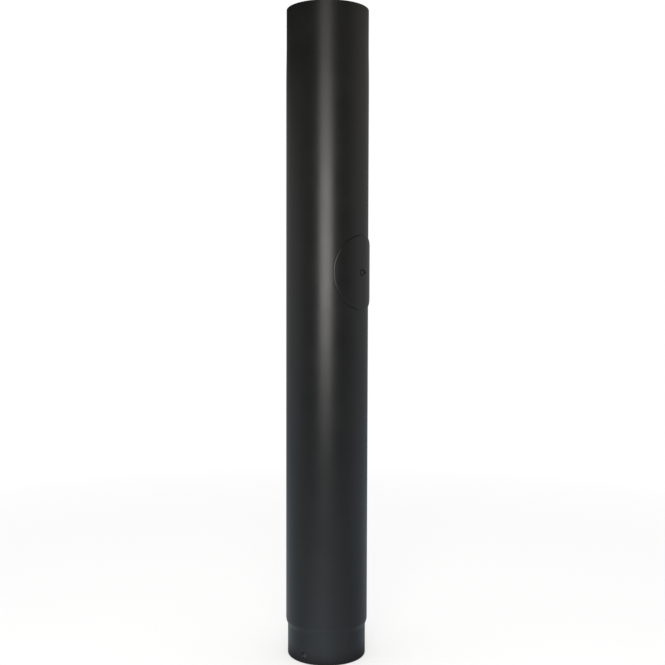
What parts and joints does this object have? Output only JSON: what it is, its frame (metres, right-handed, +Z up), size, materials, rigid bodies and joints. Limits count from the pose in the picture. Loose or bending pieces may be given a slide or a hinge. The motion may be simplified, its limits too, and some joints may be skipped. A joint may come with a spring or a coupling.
{
  "type": "flue pipe with inspection door",
  "caption": "Straight black stove flue pipe with a swaged spigot, a plain socket end and an oval curved inspection door held by a central screw, for sweeping and checking the flue.",
  "frame": {"origin": "centre of the spigot's foot rim, on the pipe's axis", "axes": "+Z up along the pipe's axis from spigot to socket, -Y out of the inspection door, +X to the right of someone facing the door"},
  "size_m": [0.1274, 0.133, 1],
  "materials": {
    "black_coating": "satin",
    "black_screw": "satin",
    "fibre_gasket": "matte",
    "plain_steel": "satin"
  },
  "bodies": {
    "pipe": {"flue_pipe": "black_coating"},
    "door": {"door_plate": "black_coating", "door_gasket": "fibre_gasket"},
    "screw": {"clamp_screw": "black_screw"},
    "bar": {"clamp_bar": "plain_steel", "weld_nut": "plain_steel"}
  },
  "joints": [
    {"name": "door_lift", "type": "slide", "parent": "pipe", "child": "door", "axis": [0, -1, 0], "range_m": [0, 0.12]},
    {"name": "screw_turn", "type": "hinge", "parent": "door", "child": "screw", "pos_m": [0, -0.066, 0.599], "axis": [0, -1, 0], "range_deg": [0, 3601]},
    {"name": "bar_slide", "type": "slide", "parent": "pipe", "child": "bar", "axis": [0, 1, 0], "range_m": [0, 0.01]}
  ],
  "couplings": [
    {"joint": "screw_turn", "follows": "bar_slide", "rad_per_m": 6283.2}
  ]
}
